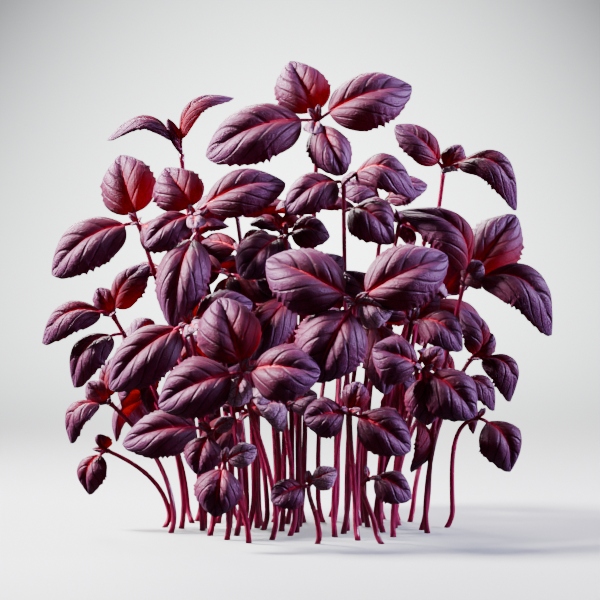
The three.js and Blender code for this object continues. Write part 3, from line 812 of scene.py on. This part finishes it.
# ---- the bunch ----
def leaf_forms(plan, index, stem, corners):
    """The leaves that the model's node has, each in the bend that it took there."""
    face = Vector(plan["face"]).normalized()
    forms = []
    for order, (x, y, z, width, arch, *place) in enumerate(plan["leaves"]):
        root = stem.at(place[0] if place else 1)
        for bend in LEAF_BENDS:
            form = LeafForm(root, bent(Vector((x, y, z)), face, bend), face, width, arch)
            tip, lift = form.middle(1), form.lift(1) * CAD_BLADE_THICK / 2
            if corners.has(tip + lift) and corners.has(tip - lift):
                raised = ease(form.along.z, 0.45, 0.85)  # leaves that stand up get more painted red glow of back light
                youth = 0.9 * (1 - raised) if form.length < SIMPLE_FROM else 0
                # a little painted red glow of back light for every leaf, and much more for the inner
                # leaves of the ruled stems
                inner = 0.1
                if plan.get("ruled"):
                    inner = spread(index, 60 + order, 0.6, 1)
                    youth = spread(index, 70 + order, 0, 0.12)
                glow = min(1, inner + 0.9 * raised)
                forms.append((form, LeafTraits(index, order, form.kind(), glow, youth)))
                break
    return forms


def new_leaves(plan, index, stem):
    """Tiny folded leaves round the growing point of a head."""
    face = Vector(plan["face"]).normalized()
    root = stem.at(1)
    spoke = across(Vector((0.3, 1, 0.2)), face)
    forms = []
    for k in range(NEW_LEAVES):
        out = Quaternion(face, 2.2 * k + 6 * draw(index, 90 + k)) @ spoke
        long = spread(index, 93 + k, 1.8, 3.4)
        tip = (face * 0.9 + out * 0.75) * long
        form = LeafForm(root, tip, face - out * 0.4, 0.55 * long, 0.12)
        # the new leaves get a fixed painted red glow of back light
        forms.append((form, LeafTraits(index, 7 + k, "new", 0.7, 0.75 + 0.25 * draw(index, 97 + k))))
    return forms


def build_bunch():
    """Dresses every leafy stem of the model."""
    grain = skin_grain_group()
    leaf_skin, stem_skin = leaf_material(grain), stem_material(grain)
    plans = PLACED + [ruled_stem(i) for i in range(RULED)]
    for index, plan in enumerate(plans):
        label = f"{index + 1:02d}"
        node = "leafy_stem_" + label
        corners = CadCorners(node)
        stem = StemForm(plan, index, corners.foot())
        forms = leaf_forms(plan, index, stem, corners) + new_leaves(plan, index, stem)
        leaves_piece("leaves_" + label, node, forms, [leaf_skin, stem_skin])
        # a tone that differs at random, and a painted glow of back light that makes stems further back
        # lighter
        tone = 0.4 * draw(index, 11) + 0.6 * ease(plan["foot"][1], -20, 10)
        stem_piece("stem_" + label, node, stem, tone, stem_skin)


# ---- the studio ----
GLOW_MIDDLE, GLOW_REACH = (0, 0.6, 0.05), 0.8  # where the paper glows, and how far that spreads


def paper_material():
    """Pale paper with a painted pool of light: it glows most where it rises beyond the bunch."""
    material, net = new_material("pale_paper")
    place = net.node("TexCoord").outputs["Object"]
    tint = net.mix(net.noise(place, 900.0), colour(0.25, 0.26, 0.26), colour(0.27, 0.28, 0.28))
    squeezed = net.node("Mapping", {"Vector": place, "Scale": (2.2, 1.0, 1.0)}).outputs[0]
    values = {0: squeezed, 1: GLOW_MIDDLE}
    away = net.node("VectorMath", values, operation="DISTANCE").outputs["Value"]
    # a painted pool of light, glowing most behind the bunch and fading outward
    glow = net.math("POWER", net.ease(away, 0.0, GLOW_REACH, 2.4, 0.0), 2.0)
    shader = net.node(
        "BsdfPrincipled",
        {"Base Color": tint, "Roughness": 0.75, "Emission Color": colour(0.95, 0.98, 1.0),
         "Emission Strength": glow},
    )
    net.node("OutputMaterial", {0: shader.outputs[0]})
    return material


def studio_sweep():
    """A pale floor that curves up into a backdrop."""
    flat, bend, tall, wide = 0.25, 1.0, 0.4, 1.6
    front = -1.2
    bm = bmesh.new()
    bmesh.ops.create_grid(bm, x_segments=1, y_segments=60, size=1)
    total = (flat - front) + bend * math.pi / 2 + tall
    for vert in bm.verts:
        run = (vert.co.y + 1) / 2 * total + front
        turn = min(math.pi / 2, max(0, (run - flat) / bend))
        rise = max(0, run - flat - bend * math.pi / 2)
        y = min(run, flat) + bend * math.sin(turn)
        vert.co = Vector((vert.co.x * wide, y, bend * (1 - math.cos(turn)) + rise))
    for face in bm.faces:
        face.smooth = True
    mesh = bpy.data.meshes.new("studio_sweep")
    bm.to_mesh(mesh)
    bm.free()
    mesh.materials.append(paper_material())
    sweep = bpy.data.objects.new("studio_sweep", mesh)
    bpy.context.scene.collection.objects.link(sweep)
    sweep.visible_diffuse = False
    sweep.visible_glossy = False


def soft_lamp(name, place, aim, size, power, tint, beam):
    """A round lamp of the size given, in metres, whose light keeps within the beam, in degrees."""
    lamp = bpy.data.lights.new(name, "AREA")
    lamp.shape, lamp.size, lamp.energy, lamp.color = "DISK", size, power, tint
    lamp.spread = math.radians(beam)
    holder = bpy.data.objects.new(name, lamp)
    holder.location = place
    holder.rotation_euler = (Vector(aim) - Vector(place)).to_track_quat("-Z", "Y").to_euler()
    bpy.context.scene.collection.objects.link(holder)


def light_studio():
    """A key from the upper left, a cool edge from the right, a lamp behind and faint air."""
    middle = (0, 0, 0.055)
    soft_lamp("key", (-0.42, 0.01, 0.38), middle, 0.14, 4.8, (1.0, 0.95, 0.97), 52)
    soft_lamp("cool_edge", (0.6, 0.0, 0.28), (0, 0, 0.08), 0.3, 1.8, (0.58, 0.58, 1.0), 30)
    soft_lamp("back", (-0.2, 0.44, 0.38), middle, 0.25, 1.3, (1.0, 0.88, 0.92), 45)
    world = bpy.data.worlds.new("studio_air")
    world.use_nodes = True
    air = world.node_tree.nodes["Background"]
    air.inputs["Color"].default_value = colour(0.95, 0.86, 0.94)
    air.inputs["Strength"].default_value = 0.2
    bpy.context.scene.world = world


IMAGE_SIZE, METRES_PER_PIXEL = 600, 0.00023
CAMERA_AIM, CAMERA_DISTANCE, CAMERA_RISE = (0.0002, 0, 0.0524), 0.48, math.radians(2)


def place_camera():
    """A camera in front of the bunch, just above the level of its middle."""
    aim = Vector(CAMERA_AIM)
    camera = bpy.data.cameras.new("camera")
    camera.sensor_width = 36
    camera.lens = camera.sensor_width * CAMERA_DISTANCE / (IMAGE_SIZE * METRES_PER_PIXEL)
    holder = bpy.data.objects.new("camera", camera)
    away = Vector((0, -math.cos(CAMERA_RISE), math.sin(CAMERA_RISE)))
    holder.location = aim + away * CAMERA_DISTANCE
    holder.rotation_euler = (aim - holder.location).to_track_quat("-Z", "Y").to_euler()
    bpy.context.scene.collection.objects.link(holder)
    bpy.context.scene.camera = holder


place_camera()
build_bunch()
studio_sweep()
light_studio()
